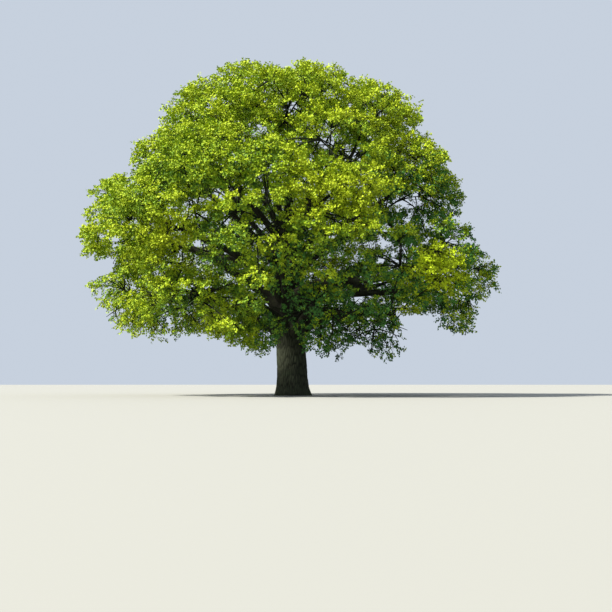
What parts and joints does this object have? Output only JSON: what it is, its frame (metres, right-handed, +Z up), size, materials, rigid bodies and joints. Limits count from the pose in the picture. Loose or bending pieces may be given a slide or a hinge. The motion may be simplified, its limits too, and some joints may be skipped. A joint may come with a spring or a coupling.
{
  "type": "linden tree",
  "caption": "Free-standing old linden tree in full leaf: a stout trunk with a root flare, boughs in rising tiers, and a broad domed crown of separate leafy masses.",
  "frame": {"origin": "middle of the flat cut under the trunk, at ground level", "axes": "+Z up along the trunk, +X to the tree's right as the picture shows it, -Y towards the picture's viewer"},
  "size_m": [24.477, 24.574, 18.8511],
  "materials": {
    "bark": "rough, ridged dark grey-brown bark",
    "bough_bark": "dark grey-brown bark, smoother than the trunk's",
    "leaves": "soft yellow-green leaves, slightly glossy on top"
  },
  "bodies": {
    "root": {"bough_broad_1": "bough_bark", "bough_broad_2": "bough_bark", "bough_broad_3": "bough_bark", "bough_broad_4": "bough_bark", "bough_broad_5": "bough_bark", "bough_broad_6": "bough_bark", "bough_broad_7": "bough_bark", "bough_broad_8": "bough_bark", "bough_shoulder_1": "bough_bark", "bough_shoulder_2": "bough_bark", "bough_shoulder_3": "bough_bark", "bough_shoulder_4": "bough_bark", "bough_shoulder_5": "bough_bark", "bough_shoulder_6": "bough_bark", "bough_shoulder_7": "bough_bark", "bough_skirt_1": "bough_bark", "bough_skirt_2": "bough_bark", "bough_skirt_3": "bough_bark", "bough_skirt_4": "bough_bark", "bough_skirt_5": "bough_bark", "bough_skirt_6": "bough_bark", "bough_skirt_7": "bough_bark", "bough_upper_1": "bough_bark", "bough_upper_2": "bough_bark", "bough_upper_3": "bough_bark", "bough_upper_4": "bough_bark", "bough_upper_5": "bough_bark", "foliage_broad_1": "leaves", "foliage_broad_2": "leaves", "foliage_broad_3": "leaves", "foliage_broad_4": "leaves", "foliage_broad_5": "leaves", "foliage_broad_6": "leaves", "foliage_broad_7": "leaves", "foliage_broad_8": "leaves", "foliage_shoulder_1": "leaves", "foliage_shoulder_2": "leaves", "foliage_shoulder_3": "leaves", "foliage_shoulder_4": "leaves", "foliage_shoulder_5": "leaves", "foliage_shoulder_6": "leaves", "foliage_shoulder_7": "leaves", "foliage_skirt_1": "leaves", "foliage_skirt_2": "leaves", "foliage_skirt_3": "leaves", "foliage_skirt_4": "leaves", "foliage_skirt_5": "leaves", "foliage_skirt_6": "leaves", "foliage_skirt_7": "leaves", "foliage_top": "leaves", "foliage_upper_1": "leaves", "foliage_upper_2": "leaves", "foliage_upper_3": "leaves", "foliage_upper_4": "leaves", "foliage_upper_5": "leaves", "trunk": "bark"}
  },
  "joints": []
}
